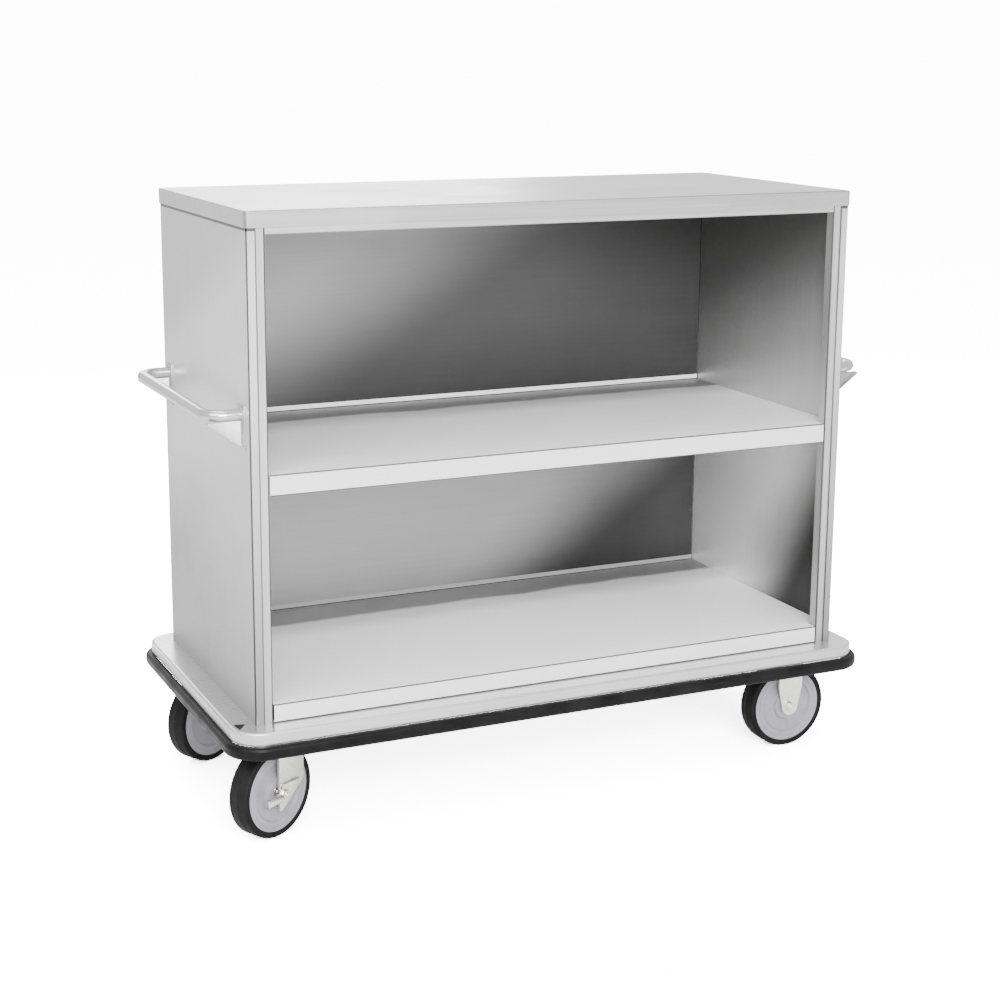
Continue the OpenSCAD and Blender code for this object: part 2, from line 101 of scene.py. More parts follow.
def mixed(tree, factor, a, b, mode="MIX"):
    return add(tree, "ShaderNodeMix", {0: factor, 6: a, 7: b}, data_type="RGBA",
               blend_type=mode).outputs[2]


def axes_of(tree, vector):
    return add(tree, "ShaderNodeSeparateXYZ", {0: vector}).outputs


FLOAT, VECTOR = "NodeSocketFloat", "NodeSocketVector"
GEOMETRY, WHOLE, MATERIAL = "NodeSocketGeometry", "NodeSocketInt", "NodeSocketMaterial"


def new_group(name, kind, inputs, outputs):
    """A node group with named inputs, as (name, socket type, value), and named outputs."""
    group = bpy.data.node_groups.new(name, kind)
    for title, socket_type, value in inputs:
        socket = group.interface.new_socket(name=title, in_out="INPUT", socket_type=socket_type)
        if value is not None:
            socket.default_value = value
    for title, socket_type in outputs:
        group.interface.new_socket(name=title, in_out="OUTPUT", socket_type=socket_type)
    return group, group.nodes.new("NodeGroupInput").outputs, group.nodes.new("NodeGroupOutput").inputs


# ---- effects that several finishes share ----

def make_grain():
    """Fine straight marks of a polishing belt, drawn out along one axis, and slow clouding."""
    group, given, result = new_group(
        "brushed_grain", "ShaderNodeTree",
        [("Vector", VECTOR, None), ("Along", VECTOR, None), ("Cloud Size", FLOAT, 3.0)],
        [("Grain", FLOAT), ("Cloud", FLOAT)])
    drawn = vectors(group, "MULTIPLY", given["Vector"], given["Along"]).outputs[0]
    wide = add(group, "ShaderNodeVectorMath", {0: drawn, "Scale": 0.2}, operation="SCALE").outputs[0]
    fine = maths(group, "MULTIPLY", noise(group, drawn, 1.0, 2.0, 0.7), 0.55)
    coarse = maths(group, "MULTIPLY", noise(group, wide, 1.0, 2.0, 0.6), 0.45)
    group.links.new(maths(group, "ADD", fine, coarse), result["Grain"])
    group.links.new(noise(group, given["Vector"], given["Cloud Size"], 2.0, 0.5), result["Cloud"])
    return group


def make_handling():
    """Smudges where hands and bags rub, and a few short slanting scratches."""
    group, given, result = new_group(
        "handling_marks", "ShaderNodeTree",
        [("Vector", VECTOR, None), ("Scratches", FLOAT, 0.5)],
        [("Smudge", FLOAT), ("Scratch", FLOAT)])
    smudge = noise(group, given["Vector"], 7.0, 3.0, 0.6)
    group.links.new(ramp(group, smudge, 0.50, 0.72), result["Smudge"])
    turned_to = add(group, "ShaderNodeMapping", {"Vector": given["Vector"], "Rotation": (0.5, 0.9, 0.4),
                                                 "Scale": (6.0, 150.0, 90.0)}).outputs[0]
    thin = ramp(group, noise(group, turned_to, 1.0, 1.0, 0.4), 0.71, 0.76)
    group.links.new(maths(group, "MULTIPLY", thin, given["Scratches"]), result["Scratch"])
    return group


def make_edges():
    """Rubbed corners, and a mask of the hollows, for pieces with dense meshes."""
    group, given, result = new_group(
        "rubbed_edges", "ShaderNodeTree", [("Vector", VECTOR, None)], [("Rub", FLOAT), ("Hollow", FLOAT)])
    bend = add(group, "ShaderNodeNewGeometry").outputs["Pointiness"]
    patchy = noise(group, given["Vector"], 60.0, 3.0, 0.6)
    rub = maths(group, "MULTIPLY", ramp(group, bend, 0.515, 0.60), patchy)
    group.links.new(rub, result["Rub"])
    group.links.new(ramp(group, bend, 0.49, 0.42), result["Hollow"])
    return group


def make_fold():
    """1 on the bends of folded sheet and 0 on its flats, which all lie square to the axes."""
    group, given, result = new_group(
        "sheet_fold", "ShaderNodeTree", [("Normal", VECTOR, None)], [("Fold", FLOAT)])
    across, deep, high = axes_of(group, vectors(group, "ABSOLUTE", given["Normal"], (0, 0, 0)).outputs[0])
    most = maths(group, "MAXIMUM", maths(group, "MAXIMUM", across, deep), high)
    group.links.new(ramp(group, most, 0.995, 0.95), result["Fold"])
    return group


def make_sweep():
    """A soft edge across a panel: 1 on the side that Towards points to, 0 on the other."""
    group, given, result = new_group(
        "soft_sweep", "ShaderNodeTree",
        [("Vector", VECTOR, None), ("Towards", VECTOR, None), ("Offset", FLOAT, 0.0),
         ("Softness", FLOAT, 0.1)],
        [("Mask", FLOAT)])
    along = vectors(group, "DOT_PRODUCT", given["Vector"], given["Towards"]).outputs["Value"]
    past = maths(group, "SUBTRACT", along, given["Offset"])
    near = maths(group, "MULTIPLY", given["Softness"], -1.0)
    group.links.new(ramp(group, past, near, given["Softness"]), result["Mask"])
    return group


GRAIN, HANDLING, EDGES = make_grain(), make_handling(), make_edges()
FOLD, SWEEP = make_fold(), make_sweep()

ALONG_X = (4.0, 700.0, 700.0)
ALONG_Y = (700.0, 4.0, 700.0)
ALONG_Z = (700.0, 700.0, 4.0)
CAST = (90.0, 90.0, 90.0)


def use_group(tree, group, **inputs):
    sockets = {title.replace("_", " "): value for title, value in inputs.items()}
    return add(tree, "ShaderNodeGroup", sockets, node_tree=group).outputs


def side_of(tree, place, towards, offset, softness):
    return use_group(tree, SWEEP, Vector=place, Towards=towards, Offset=offset, Softness=softness)[0]


# ---- how light falls across the panels ----
# Each ..._light function gives the share of its full brightness that a place on the sheet has.
# The tones are painted on: they stay where they are when the object turns.

def fade(tree, mask, light, dark):
    return maths(tree, "ADD", light, maths(tree, "MULTIPLY", mask, dark - light))


def choose(tree, pick, low, high):
    """high where pick is 1 and low where it is 0."""
    lower = maths(tree, "MULTIPLY", maths(tree, "SUBTRACT", 1.0, pick), low)
    return maths(tree, "ADD", maths(tree, "MULTIPLY", pick, high), lower)


def above_shelf(tree, place):
    return maths(tree, "GREATER_THAN", axes_of(tree, place)[2], SHELF_LEVEL)


def back_light(tree, place):
    """Painted shade on the inside of the back panel: dark towards the lower right of each compartment, with
    a soft slanting edge. The outside face is lifted 1.7 times, since the panel's level is set low for the
    painted inside.
    """
    upper = side_of(tree, place, (0.54, 0.0, -0.84), -1.0, 0.17)
    lower = side_of(tree, place, (0.60, 0.0, -0.80), -0.17, 0.13)
    by_shelf = side_of(tree, place, (0.0, 0.0, -1.0), -0.96, 0.14)
    dusk = maths(tree, "MULTIPLY", fade(tree, upper, 1.0, 0.24), fade(tree, by_shelf, 1.0, 0.74))
    inside = choose(tree, above_shelf(tree, place), fade(tree, lower, 1.0, 0.13), dusk)
    # Only the inside face takes the painted shade; the outside face is lifted back to plain sheet.
    facing = add(tree, "ShaderNodeTexCoord").outputs["Normal"]
    return choose(tree, maths(tree, "LESS_THAN", axes_of(tree, facing)[1], -0.5), 1.7, inside)


def end_light(tree, place):
    """End panels: painted shade with slanting soft edges inside, where the lower wall is also painted
    lighter; outside, painted shade on the foot, a painted sheen band and a painted shadow line under the
    lip.
    """
    # Inside: painted shade with slanting soft edges, and the lower compartment's wall painted up to 1.8
    # times lighter.
    inner_top = side_of(tree, place, (0.0, 0.35, 0.94), 0.93, 0.20)
    inner_foot = side_of(tree, place, (0.0, -0.86, -0.51), -0.17, 0.13)
    inside = choose(tree, above_shelf(tree, place), fade(tree, inner_foot, 1.80, 0.05),
                    fade(tree, inner_top, 0.96, 0.24))
    facing = add(tree, "ShaderNodeTexCoord").outputs["Normal"]
    turned_in = maths(tree, "MULTIPLY", axes_of(tree, place)[0], axes_of(tree, facing)[0])
    inward = maths(tree, "LESS_THAN", turned_in, -0.3)
    # Outside: painted shade on the foot, a painted sheen band across the panel, and a painted shadow under
    # the lip.
    foot = fade(tree, side_of(tree, place, (0.0, 0.20, -0.98), -0.60, 0.30), 1.0, 0.46)
    sheen_band = maths(tree, "MULTIPLY", side_of(tree, place, (0.0, -0.42, -0.91), -1.02, 0.07),
                 side_of(tree, place, (0.0, 0.36, 0.93), 0.72, 0.10))
    lip_shadow = side_of(tree, place, (0.0, 0.0, 1.0), LIP_LOW - 0.0065, 0.0010)
    outside = maths(tree, "MULTIPLY", maths(tree, "MULTIPLY", foot, fade(tree, sheen_band, 0.88, 1.12)),
                    fade(tree, lip_shadow, 1.0, 0.16))
    return choose(tree, inward, outside, inside)


def tray_light(tree, place):
    """A tray: a painted shade band along the back that softens forwards, its upright faces painted a little
    darker, and the floor pan's rear upstand painted dark.
    """
    wavy = maths(tree, "MULTIPLY", noise(tree, place, 5.0, 2.0, 0.5), 0.05)
    shifted = add(tree, "ShaderNodeCombineXYZ", {"Y": wavy}).outputs[0]
    swayed = vectors(tree, "ADD", place, shifted).outputs[0]
    # Painted shadow and reflection along the back of the tray, with a wavy soft edge.
    near = side_of(tree, swayed, (-0.02, 1.0, 0.0), 0.228, 0.012)
    mid = side_of(tree, swayed, (-0.02, 1.0, 0.0), 0.155, 0.055)
    rear_shade = maths(tree, "MULTIPLY", fade(tree, near, 1.0, 0.24), fade(tree, mid, 1.0, 0.62))
    facing = axes_of(tree, add(tree, "ShaderNodeTexCoord").outputs["Normal"])
    flat = maths(tree, "GREATER_THAN", facing[2], 0.5)
    upright = fade(tree, above_shelf(tree, place), 0.30, 1.0)
    rear = maths(tree, "GREATER_THAN", axes_of(tree, place)[1], 0.25)
    return choose(tree, flat, choose(tree, rear, 0.80, upright), rear_shade)


def post_light(tree, place):
    """A front post: a thin painted shadow line beside the end panel's fold, and painted shade on its foot.
    """
    fold_edge = CABINET_X - FRONT_FLANGE
    out = maths(tree, "ABSOLUTE", axes_of(tree, place)[0])
    fold_shadow = maths(tree, "MULTIPLY", ramp(tree, out, fold_edge - 0.0045, fold_edge - 0.0025),
                   ramp(tree, out, fold_edge + 0.0008, fold_edge))
    foot = side_of(tree, place, (0.0, 0.0, -1.0), -0.55, 0.25)
    return maths(tree, "MULTIPLY", fade(tree, fold_shadow, 1.0, 0.26), fade(tree, foot, 1.0, 0.74))


# ---- finishes ----

def material(name):
    made = bpy.data.materials.new(name)
    made.use_nodes = True
    tree = made.node_tree
    tree.nodes.clear()
    surface = add(tree, "ShaderNodeBsdfPrincipled")
    add(tree, "ShaderNodeOutputMaterial", {"Surface": surface.outputs[0]})
    return made, tree, surface, add(tree, "ShaderNodeTexCoord").outputs["Object"]


def dress(tree, surface, colour, roughness, height, strength, distance):
    """Links colour, roughness and a height map to the surface."""
    relief = add(tree, "ShaderNodeBump", {"Height": height, "Strength": strength, "Distance": distance})
    for socket, source in (("Base Color", colour), ("Roughness", roughness), ("Normal", relief.outputs[0])):
        tree.links.new(source, surface.inputs[socket])


def metal(name, level, rough, along, metallic=1.0, bump=0.05, tint=(1.0, 1.0, 1.0), contrast=0.12,
          scratches=0.5, fold=0.0, light=None, ripple=0.0):
    """Brushed or plated metal: grain in colour, roughness and relief, with handling marks. A light function
    paints light and shade into the colour, and the fold setting paints shade on the bends of the sheet.
    """
    made, tree, surface, place = material(name)
    grain = use_group(tree, GRAIN, Vector=place, Along=along)
    marks = use_group(tree, HANDLING, Vector=place, Scratches=scratches)
    tone = maths(tree, "ADD", maths(tree, "MULTIPLY", grain["Grain"], 0.6),
                 maths(tree, "MULTIPLY", grain["Cloud"], 0.4))
    low, high = level * (1.0 - contrast), min(level * (1.0 + contrast), 0.95)
    colour = mixed(tree, ramp(tree, tone, 0.35, 0.65), (*(low * part for part in tint), 1.0),
                   (*(high * part for part in tint), 1.0))
    share = light(tree, place) if light else None
    # Painted shade on the bends, standing in for the dark surroundings they reflect.
    if fold:
        square = add(tree, "ShaderNodeTexCoord").outputs["Normal"]
        bent = fade(tree, use_group(tree, FOLD, Normal=square)[0], 1.0, 1.0 - fold)
        share = maths(tree, "MULTIPLY", share, bent) if share else bent
    if share:
        colour = mixed(tree, 1.0, colour, share, "MULTIPLY")
    shift = maths(tree, "ADD", maths(tree, "MULTIPLY", grain["Grain"], 0.14),
                  maths(tree, "MULTIPLY", marks["Smudge"], 0.07))
    dull = maths(tree, "SUBTRACT", maths(tree, "ADD", shift, rough - 0.09),
                 maths(tree, "MULTIPLY", marks["Scratch"], 0.12))
    surface.inputs["Metallic"].default_value = metallic
    height = maths(tree, "SUBTRACT", grain["Grain"], marks["Scratch"])
    if ripple:
        height = maths(tree, "ADD", height, maths(tree, "MULTIPLY", grain["Cloud"], ripple))
    dress(tree, surface, colour, dull, height, bump, 0.0004)
    return made


def rubber(name, low, high, rough, fleck, bump):
    """Moulded rubber: mottled black, dusty in its hollows and scuffed on its corners."""
    made, tree, surface, place = material(name)
    marks = use_group(tree, HANDLING, Vector=place, Scratches=0.8)
    edges = use_group(tree, EDGES, Vector=place)
    mottle = noise(tree, place, 14.0, 4.0, 0.6)
    base = mixed(tree, ramp(tree, mottle, 0.35, 0.68), grey(low), grey(high))
    scuff = maths(tree, "MAXIMUM", edges["Rub"], marks["Scratch"])
    scuffed = mixed(tree, maths(tree, "MULTIPLY", scuff, 0.30), base, (0.035, 0.035, 0.037, 1.0))
    dusty = mixed(tree, maths(tree, "MULTIPLY", edges["Hollow"], 0.25), scuffed, (0.030, 0.029, 0.027, 1.0))
    surface.inputs["Specular IOR Level"].default_value = 0.10
    dress(tree, surface, dusty, ramp(tree, mottle, 0.3, 0.7, rough - 0.06, rough + 0.1),
          noise(tree, place, fleck, 3.0, 0.6), bump, 0.0005)
    return made


def moulded(name, colour, rough):
    """Moulded wheel core: faint flow marks, patchy grime, small knocks, and darker in its hollows."""
    made, tree, surface, place = material(name)
    marks = use_group(tree, HANDLING, Vector=place, Scratches=0.7)
    edges = use_group(tree, EDGES, Vector=place)
    flow = noise(tree, place, 22.0, 4.0, 0.6)
    grime = ramp(tree, noise(tree, place, 45.0, 3.0, 0.6), 0.55, 0.75, 0.0, 0.45)
    base = mixed(tree, ramp(tree, flow, 0.3, 0.7), (*(0.88 * part for part in colour), 1.0), (*colour, 1.0))
    dirty = mixed(tree, maths(tree, "MAXIMUM", grime, marks["Scratch"]), base, (0.72, 0.71, 0.70, 1.0),
                  "MULTIPLY")
    # The core's colour is darker in its hollows.
    hollow_darkened = mixed(tree, edges["Hollow"], dirty, (0.30, 0.30, 0.30, 1.0), "MULTIPLY")
    dress(tree, surface, hollow_darkened, ramp(tree, flow, 0.3, 0.7, rough - 0.05, rough + 0.1),
          noise(tree, place, 190.0, 2.0, 0.5), 0.12, 0.0003)
    return made


SHEET = metal("satin_stainless_along", 0.62, 0.34, ALONG_X, metallic=0.85, fold=0.35, ripple=6.0)
TOP = metal("satin_stainless_top", 0.55, 0.33, ALONG_X, metallic=0.85, fold=0.45, ripple=22.0)
DECK = metal("satin_stainless_deck", 0.70, 0.30, ALONG_X, metallic=0.9, contrast=0.04,
             ripple=14.0, scratches=0.1)
# The trays' level is set high as painted light for the light that falls into the cabinet; tray_light paints
# their shade.
TRAY = metal("satin_stainless_tray_painted_light_and_shade", 0.93, 0.42, ALONG_X, metallic=0.10, contrast=0.02, fold=0.90,
             light=tray_light)
POST = metal("satin_stainless_post_painted_shade", 0.58, 0.36, ALONG_Z, metallic=0.85, fold=0.85, light=post_light)
ENDS = metal("satin_stainless_ends_painted_shade", 0.58, 0.38, ALONG_Z, metallic=0.7, contrast=0.05, fold=0.88,
             light=end_light)
# The back panel's level is set low as painted shade for its inside; back_light lifts its outside face.
BACK = metal("satin_stainless_back_painted_shade", 0.31, 0.44, ALONG_X, metallic=0.7, contrast=0.05, light=back_light)
ANGLES = metal("satin_stainless_across", 0.62, 0.36, ALONG_Y, metallic=0.85)
GRIP = metal("polished_handle", 0.52, 0.22, ALONG_Y, bump=0.03)
BRACKET = metal("satin_bracket", 0.46, 0.32, ALONG_Z, metallic=0.9)
TRACK = metal("extruded_track", 0.62, 0.36, ALONG_X, tint=(0.99, 0.99, 1.0))
PLATED = metal("bright_zinc_plate", 0.80, 0.28, CAST, bump=0.06, tint=(1.0, 0.99, 0.96))
YELLOW = metal("yellow_zinc_plate", 0.74, 0.33, CAST, tint=(1.0, 0.96, 0.76))
GROUND = metal("ground_steel", 0.58, 0.24, ALONG_Y, bump=0.04)
WELD = metal("weld_metal", 0.46, 0.36, CAST, tint=(1.0, 0.97, 0.92))
UNDER = metal("primed_channel", 0.20, 0.55, CAST, metallic=0.0, bump=0.08, tint=(0.92, 0.97, 1.0))
BUMPER = rubber("bumper_rubber", 0.003, 0.007, 0.40, 240.0, 0.22)
TREAD = rubber("tyre_rubber", 0.004, 0.009, 0.55, 320.0, 0.30)
CORE = moulded("wheel_core_grey", (0.26, 0.255, 0.275), 0.42)


def finish_for(node):
    for ending, finish in (
            ("_bearings", GROUND), ("_sleeve", GROUND), ("_caster_plate", YELLOW),
            ("_caster_race", YELLOW), ("_fork", PLATED), ("_kingpin", PLATED), ("_axle", PLATED),
            ("_brake_lever", PLATED), ("_handle_tube", GRIP), ("_handle_brackets", BRACKET),
            ("_end_panel", ENDS), ("_front_post", POST), ("_shelf_angle", ANGLES),
            ("_rail", UNDER), ("_members", UNDER), ("_pads", UNDER), ("_stringers", UNDER),
            ("_bolts", YELLOW), ("_nuts", YELLOW), ("_rivets", BRACKET)):
        if node.endswith(ending) and node != "top_front_rail":
            return finish
    return {"mid_shelf": TRAY, "floor_pan": TRAY, "back_panel": BACK, "top_panel": TOP,
            "deck_plate": DECK, "bumper_track": TRACK}.get(node, SHEET)


for name, part in NODES.items():
    part.data.materials.clear()
    part.data.materials.append(finish_for(name))


# ---- making pieces ----

def keep(name, mesh, finish, body, replaced=(), smooth=35.0):
    """Puts a finished mesh on its body; its faces are smooth except across sharp corners."""
    if finish is not None:
        mesh.materials.clear()
        mesh.materials.append(finish)
    mesh.shade_smooth()
    mesh.set_sharp_from_angle(angle=math.radians(smooth))
    piece = bpy.data.objects.new(name, mesh)
    bpy.context.scene.collection.objects.link(piece)
    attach(piece, body)
    if replaced:
        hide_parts(*replaced)
    return piece


def rounded(corners, steps=5):
    """A closed outline from (x, y, radius) corners, each turned with an arc of its radius."""
    outline = []
    for index, (x, y, radius) in enumerate(corners):
        here = Vector((x, y))
        back = (Vector(corners[index - 1][:2]) - here).normalized()
        ahead = (Vector(corners[(index + 1) % len(corners)][:2]) - here).normalized()
        half = back.angle(ahead) / 2
        if radius == 0 or half > 1.55:
            outline.append(here)
            continue
        centre = here + (back + ahead).normalized() * radius / math.sin(half)
        start = here + back * radius / math.tan(half) - centre
        stop = here + ahead * radius / math.tan(half) - centre
        first = math.atan2(start.y, start.x)
        turn = math.atan2(start.x * stop.y - start.y * stop.x, start.dot(stop))
        for step in range(steps + 1):
            angle = first + turn * step / steps
            outline.append(centre + radius * Vector((math.cos(angle), math.sin(angle))))
    return outline


def turned(outline, place, steps=96):
    """A closed outline of (radius, height) spun about the Z axis of a place."""
    work = bmesh.new()
    points = [work.verts.new((spot[0], 0.0, spot[1])) for spot in outline]
    edges = [work.edges.new((points[i - 1], points[i])) for i in range(len(points))]
    bmesh.ops.spin(work, geom=points + edges, cent=(0, 0, 0), axis=(0, 0, 1), angle=2 * math.pi,
                   steps=steps)
    bmesh.ops.remove_doubles(work, verts=work.verts, dist=1e-6)
    bmesh.ops.recalc_face_normals(work, faces=work.faces)
    mesh = bpy.data.meshes.new("turned")
    work.to_mesh(mesh)
    work.free()
    mesh.transform(place)
    return mesh


def softened(node, width, body, segments=2):
    """Stands for a CAD node with the same shape, its sharp corners broken."""
    work = bmesh.new()
    work.from_mesh(NODES[node].data)
    bmesh.ops.remove_doubles(work, verts=work.verts, dist=2e-6)
    bmesh.ops.dissolve_limit(work, angle_limit=math.radians(0.8), verts=work.verts, edges=work.edges)
    sharp = [edge for edge in work.edges if edge.is_manifold and edge.calc_face_angle(0.0) > 0.6]
    bmesh.ops.bevel(work, geom=sharp, offset=width, segments=segments, profile=0.5, affect="EDGES",
                    clamp_overlap=True)
    mesh = bpy.data.meshes.new(node + "_softened")
    work.to_mesh(mesh)
    work.free()
    return keep(node + "_finished", mesh, finish_for(node), body, (node,))


# ---- geometry node trees for what repeats ----

def tree_of(name, inputs):
    """A geometry tree from points or a path to a mesh, with named sizes and a material."""
    return new_group(name, "GeometryNodeTree", [("Geometry", GEOMETRY, None), *inputs,
                                                ("Material", MATERIAL, None)], [("Geometry", GEOMETRY)])


def finish_tree(tree, given, result, geometry):
    """Every tree ends in real geometry with its material set."""
    real = add(tree, "GeometryNodeRealizeInstances", {"Geometry": geometry}).outputs[0]
    painted = add(tree, "GeometryNodeSetMaterial", {"Geometry": real, "Material": given["Material"]})
    tree.links.new(painted.outputs[0], result["Geometry"])
    return tree


def moved(tree, geometry, height, scale=(1.0, 1.0, 1.0)):
    lift = add(tree, "ShaderNodeCombineXYZ", {"Z": height}).outputs[0]
    return add(tree, "GeometryNodeTransform", {"Geometry": geometry, "Translation": lift,
                                               "Scale": scale}).outputs[0]


def joined(tree, *parts):
    made = add(tree, "GeometryNodeJoinGeometry")
    for part in parts:
        tree.links.new(part, made.inputs[0])
    return made.outputs[0]


def at_each_point(tree, given, shape, scale=(1.0, 1.0, 1.0)):
    """A copy of a shape at every point, its Z axis along the point's facing attribute."""
    facing = add(tree, "GeometryNodeInputNamedAttribute", {"Name": "facing"},
                 data_type="FLOAT_VECTOR").outputs[0]
    aligned = add(tree, "FunctionNodeAlignRotationToVector", {"Vector": facing}, axis="Z").outputs[0]
    return add(tree, "GeometryNodeInstanceOnPoints",
               {"Points": given["Geometry"], "Instance": shape, "Rotation": aligned,
                "Scale": scale}).outputs[0]


COLLAR_T = 0.0005                 # a rivet's rolled collar


def rivet_tree():
    """A domed rivet head on a thin rolled collar, its shank filling the hole behind it."""
    tree, given, result = tree_of("domed_rivet", [("Radius", FLOAT, 0.0045), ("Height", FLOAT, 0.0015),
                                                  ("Shank", FLOAT, 0.0025), ("Tail", FLOAT, 0.0030)])
    dome = add(tree, "GeometryNodeMeshUVSphere", {"Segments": 20, "Rings": 10, "Radius": 1.0}).outputs[0]
    size = add(tree, "ShaderNodeCombineXYZ", {"X": given["Radius"], "Y": given["Radius"],
                                              "Z": given["Height"]}).outputs[0]
    head = add(tree, "GeometryNodeTransform", {"Geometry": dome, "Scale": size}).outputs[0]
    rim = maths(tree, "MULTIPLY", given["Radius"], 1.06)
    collar = add(tree, "GeometryNodeMeshCylinder", {"Vertices": 20, "Radius": rim,
                                                    "Depth": COLLAR_T}).outputs[0]
    tail = add(tree, "GeometryNodeMeshCylinder", {"Vertices": 20, "Radius": given["Shank"],
                                                  "Depth": given["Tail"]}).outputs[0]
    sunk = moved(tree, tail, maths(tree, "MULTIPLY", given["Tail"], -0.5))
    return finish_tree(tree, given, result, at_each_point(tree, given, joined(tree, head, collar, sunk)))


def bolt_tree():
    """A through bolt: chamfered head below, shank, and chamfered nut above."""
    tree, given, result = tree_of(
        "hex_bolt_set", [("Radius", FLOAT, 0.009), ("Shank", FLOAT, 0.005), ("Head", FLOAT, 0.0065),
                         ("Grip", FLOAT, 0.010), ("Nut", FLOAT, 0.007), ("Tail", FLOAT, 0.002)])

    def hexagon(depth, foot, top_share):
        """A hexagon prism that ends in a chamfer; top_share below 0 chamfers its lower end."""
        body_depth = maths(tree, "MULTIPLY", depth, 0.8)
        edge_depth = maths(tree, "MULTIPLY", depth, 0.2)
        small = maths(tree, "MULTIPLY", given["Radius"], abs(top_share))
        prism = add(tree, "GeometryNodeMeshCylinder", {"Vertices": 6, "Radius": given["Radius"],
                                                       "Depth": body_depth}).outputs[0]
        ends = ((small, given["Radius"]) if top_share > 0 else (given["Radius"], small))
        cone = add(tree, "GeometryNodeMeshCone", {"Vertices": 6, "Radius Top": ends[0],
                                                  "Radius Bottom": ends[1], "Depth": edge_depth}).outputs[0]
        if top_share > 0:
            middle = maths(tree, "ADD", foot, maths(tree, "MULTIPLY", depth, 0.4))
            tip = maths(tree, "ADD", foot, maths(tree, "MULTIPLY", depth, 0.8))
        else:
            middle = maths(tree, "SUBTRACT", foot, maths(tree, "MULTIPLY", depth, 0.4))
            tip = maths(tree, "SUBTRACT", foot, depth)
        return joined(tree, moved(tree, prism, middle), moved(tree, cone, tip))

    length = maths(tree, "ADD", maths(tree, "ADD", given["Grip"], given["Nut"]), given["Tail"])
    shank = add(tree, "GeometryNodeMeshCylinder", {"Vertices": 24, "Radius": given["Shank"],
                                                   "Depth": length}).outputs[0]
    shape = joined(tree, hexagon(given["Head"], 0.0, -0.84),
                   moved(tree, shank, maths(tree, "MULTIPLY", length, 0.5)),
                   hexagon(given["Nut"], given["Grip"], 0.84))
    return finish_tree(tree, given, result, at_each_point(tree, given, shape))


def bead_tree():
    """A weld bead: overlapping flattened drops along the points, each a little different."""
    tree, given, result = tree_of("weld_bead", [("Size", FLOAT, 0.002), ("Seed", WHOLE, 3)])
    drop = add(tree, "GeometryNodeMeshIcoSphere", {"Radius": given["Size"], "Subdivisions": 2}).outputs[0]
    drops = moved(tree, drop, 0.0, (1.0, 1.0, 0.62))
    spread = {"Min": (0.85, 0.85, 0.85), "Max": (1.15, 1.15, 1.1), "Seed": given["Seed"]}
    size = add(tree, "FunctionNodeRandomValue", spread, data_type="FLOAT_VECTOR").outputs[0]
    return finish_tree(tree, given, result, at_each_point(tree, given, drops, size))


def balls_tree():
    """Bearing balls, one at each point."""
    tree, given, result = tree_of("bearing_balls", [("Radius", FLOAT, 0.0028)])
    ball = add(tree, "GeometryNodeMeshUVSphere", {"Segments": 16, "Rings": 10,
                                                  "Radius": given["Radius"]}).outputs[0]
    return finish_tree(tree, given, result, at_each_point(tree, given, ball))


def tube_tree():
    """A round bar along a path of straight runs, bent to one radius at its corners."""
    tree, given, result = tree_of("bent_tube", [("Radius", FLOAT, 0.0125), ("Bend", FLOAT, 0.04)])
    path = add(tree, "GeometryNodeMeshToCurve", {"Mesh": given["Geometry"]}).outputs[0]
    bent = add(tree, "GeometryNodeFilletCurve", {"Curve": path, "Radius": given["Bend"], "Count": 14},
               mode="POLY").outputs[0]
    ring = add(tree, "GeometryNodeCurvePrimitiveCircle", {"Resolution": 40,
                                                          "Radius": given["Radius"]}).outputs[0]
    tube = add(tree, "GeometryNodeCurveToMesh", {"Curve": bent, "Profile Curve": ring,
                                                 "Fill Caps": True}).outputs[0]
    return finish_tree(tree, given, result, tube)


def strip_tree():
    """A profile run round a rounded rectangle in the XY plane; the profile's Y points down."""
    tree, given, result = tree_of("edge_strip", [("Length", FLOAT, 1.5), ("Depth", FLOAT, 0.7),
                                                 ("Corner", FLOAT, 0.06), ("Height", FLOAT, 0.25)])
    frame_path = add(tree, "GeometryNodeCurvePrimitiveQuadrilateral", {"Width": given["Length"],
                                                                       "Height": given["Depth"]}).outputs[0]
    path = add(tree, "GeometryNodeFilletCurve", {"Curve": frame_path, "Radius": given["Corner"],
                                                 "Count": 16}, mode="POLY").outputs[0]
    outline = add(tree, "GeometryNodeMeshToCurve", {"Mesh": given["Geometry"]}).outputs[0]
    strip = add(tree, "GeometryNodeCurveToMesh", {"Curve": path, "Profile Curve": outline}).outputs[0]
    return finish_tree(tree, given, result, moved(tree, strip, given["Height"]))


RIVET, BOLT, BEAD = rivet_tree(), bolt_tree(), bead_tree()
BALLS, TUBE, STRIP = balls_tree(), tube_tree(), strip_tree()


def grown(name, tree, finish, points, edges=(), facing=None, **sizes):
    """Runs a geometry tree on points and gives the result as a plain mesh."""
    seed = bpy.data.meshes.new(name + "_points")
    seed.from_pydata([tuple(point) for point in points], list(edges), [])
    if facing is not None:
        seed.attributes.new("facing", "FLOAT_VECTOR", "POINT")
        for item, way in zip(seed.attributes["facing"].data, facing):
            item.vector = way
    holder = bpy.data.objects.new(name + "_seed", seed)
    bpy.context.scene.collection.objects.link(holder)
    step = holder.modifiers.new("grow", "NODES")
    step.node_group = tree
    for socket in tree.interface.items_tree:
        title = socket.name.lower()
        if socket.in_out == "INPUT" and title == "material":
            step[socket.identifier] = finish
        elif socket.in_out == "INPUT" and title in sizes:
            step[socket.identifier] = sizes[title]
    result = holder.evaluated_get(bpy.context.evaluated_depsgraph_get())
    mesh = bpy.data.meshes.new_from_object(result)
    holder.modifiers.remove(step)
    bpy.data.objects.remove(holder)
    return mesh


